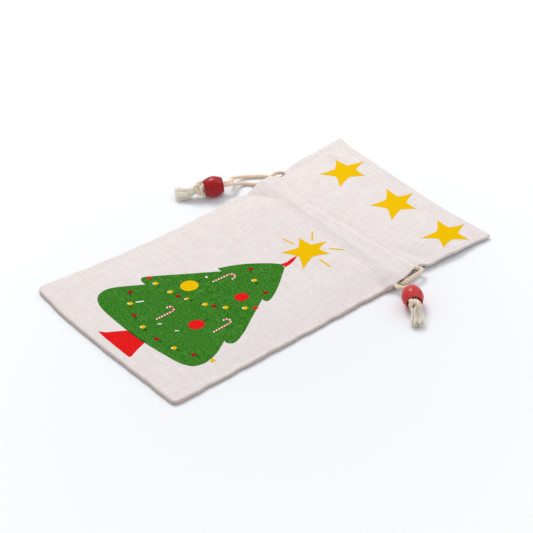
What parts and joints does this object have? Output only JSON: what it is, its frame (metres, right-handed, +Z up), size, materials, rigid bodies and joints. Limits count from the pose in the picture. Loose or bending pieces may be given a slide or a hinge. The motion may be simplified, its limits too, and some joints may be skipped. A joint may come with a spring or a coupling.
{
  "type": "drawstring gift pouch",
  "caption": "Flat cotton canvas gift pouch with a printed tree and stars, gathered by opposed drawcords that end in wooden beads, knots and frayed tassels.",
  "frame": {"origin": "middle of the underside of the cloth, on the surface that the flat pouch lies on", "axes": "+X across the pouch to its right side, +Y from the bottom edge to the mouth, +Z up through its thickness"},
  "size_m": [0.2193, 0.25, 0.014],
  "materials": {
    "canvas": "off-white plain-weave cotton canvas with small slubs",
    "thread": "matt cotton sewing thread",
    "cord": "three-ply twisted natural cotton",
    "frayed_cotton": "loose unlaid cotton fibres",
    "bead_wood": "turned wood in glossy deep red lacquer with faint grain",
    "green_ink": "green screen print soaked into the weave",
    "red_ink": "red screen print soaked into the weave",
    "yellow_ink": "warm yellow screen print, nearly opaque",
    "white_ink": "white screen print in small details"
  },
  "bodies": {
    "root": {"front_panel": "canvas", "back_panel": "canvas", "front_facing": "canvas", "back_facing": "canvas", "left_seam_allowance": "canvas", "right_seam_allowance": "canvas", "bottom_seam_allowance": "canvas", "left_overlock": "thread", "right_overlock": "thread", "bottom_overlock": "thread", "front_lower_stitching": "thread", "front_upper_stitching": "thread", "back_lower_stitching": "thread", "back_upper_stitching": "thread", "green_print": "green_ink", "red_print": "red_ink", "yellow_print": "yellow_ink", "white_print": "white_ink"},
    "left_mouth": {"left_front_hem": "canvas", "left_back_hem": "canvas"},
    "right_mouth": {"right_front_hem": "canvas", "right_back_hem": "canvas"},
    "left_drawcord": {"left_cord_run": "cord", "left_cord_front_strand": "cord", "left_cord_back_strand": "cord", "left_knot": "cord", "left_tassel": "frayed_cotton"},
    "right_drawcord": {"right_cord_run": "cord", "right_cord_front_strand": "cord", "right_cord_back_strand": "cord", "right_knot": "cord", "right_tassel": "frayed_cotton"},
    "left_bead_body": {"left_bead": "bead_wood"},
    "right_bead_body": {"right_bead": "bead_wood"}
  },
  "joints": [
    {"name": "left_pull", "type": "slide", "parent": "root", "child": "left_drawcord", "axis": [-1, 0, 0], "range_m": [0, 0.04], "deforming": ["front_panel", "back_panel", "front_facing", "back_facing", "left_seam_allowance", "right_seam_allowance", "bottom_seam_allowance", "left_overlock", "right_overlock", "bottom_overlock", "front_lower_stitching", "front_upper_stitching", "back_lower_stitching", "back_upper_stitching", "green_print", "red_print", "yellow_print", "white_print"]},
    {"name": "right_pull", "type": "slide", "parent": "root", "child": "right_drawcord", "axis": [1, 0, 0], "range_m": [0, 0.04]},
    {"name": "left_gather", "type": "slide", "parent": "root", "child": "left_mouth", "axis": [1, 0, 0], "range_m": [0, 0.04]},
    {"name": "right_gather", "type": "slide", "parent": "root", "child": "right_mouth", "axis": [-1, 0, 0], "range_m": [0, 0.04]},
    {"name": "left_bead_slide", "type": "slide", "parent": "left_drawcord", "child": "left_bead_body", "axis": [0.4226, 0.9063, 0], "range_m": [0, 0.004]},
    {"name": "right_bead_slide", "type": "slide", "parent": "right_drawcord", "child": "right_bead_body", "axis": [-0.866, 0.5, 0], "range_m": [0, 0.003]}
  ],
  "couplings": [
    {"joint": "right_pull", "follows": "left_pull", "ratio": 1},
    {"joint": "left_gather", "follows": "left_pull", "ratio": 1},
    {"joint": "right_gather", "follows": "left_pull", "ratio": 1}
  ]
}
